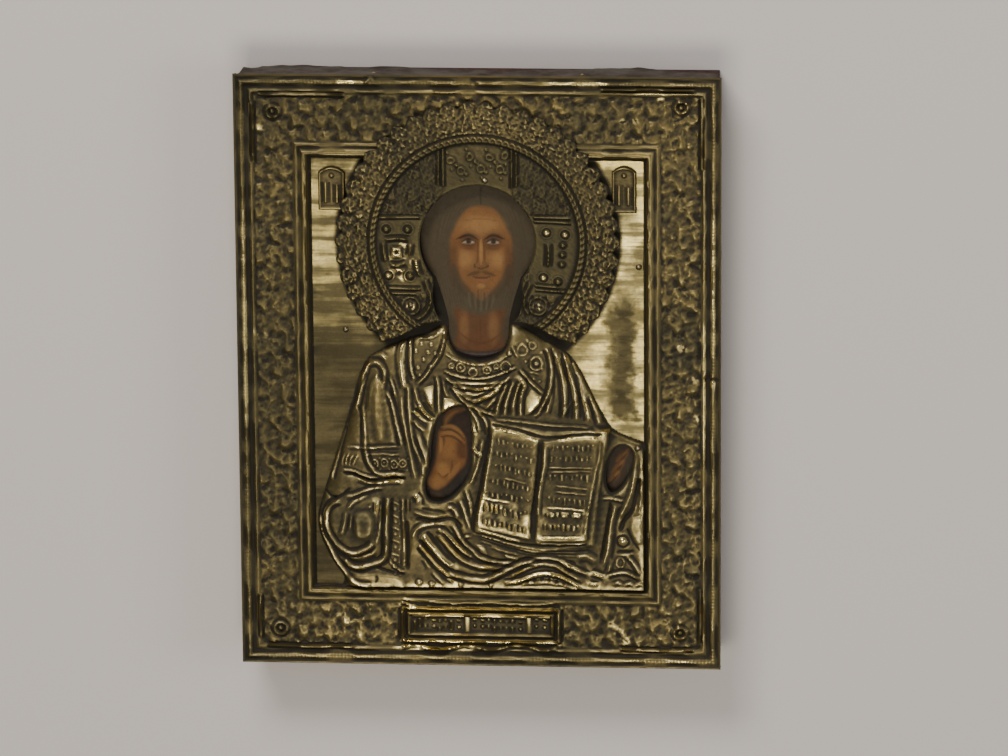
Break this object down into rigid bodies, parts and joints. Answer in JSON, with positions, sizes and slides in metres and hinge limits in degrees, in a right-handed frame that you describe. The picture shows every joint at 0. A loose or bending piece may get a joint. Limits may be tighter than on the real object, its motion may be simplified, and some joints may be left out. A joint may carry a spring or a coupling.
{
  "type": "icon panel",
  "caption": "Small Orthodox icon: a painted wooden board under a pressed gilt metal cover with openings for face and hands, a separate scalloped halo and title plates.",
  "frame": {"origin": "middle of the board's back face, on the surface that the icon lies on", "axes": "the icon lies on its back: +X to the right of the picture, +Y towards its top, +Z out of the picture"},
  "size_m": [0.178, 0.223, 0.0269],
  "materials": {
    "painted_board": "old dark wood, egg tempera paint under aged varnish where the cover is open",
    "gilt_cover": "worn antique gilding, polished on the plain field and dark in the recesses",
    "gilt_halo": "worn antique gilding with dark recesses",
    "title_plates": "worn antique gilding with dark recesses",
    "nails": "dull darkened brass"
  },
  "bodies": {
    "root": {"board": "painted_board", "cover": "gilt_cover", "halo": "gilt_halo", "title_plate_left": "title_plates", "title_plate_right": "title_plates", "nail_halo_top": "nails", "nail_halo_left": "nails", "nail_halo_right": "nails", "nail_field_left": "nails", "nail_field_right": "nails", "nail_field_lower": "nails", "nail_top_1": "nails", "nail_top_2": "nails", "nail_right_1": "nails", "nail_right_2": "nails", "nail_left_1": "nails", "nail_left_2": "nails"}
  },
  "joints": []
}
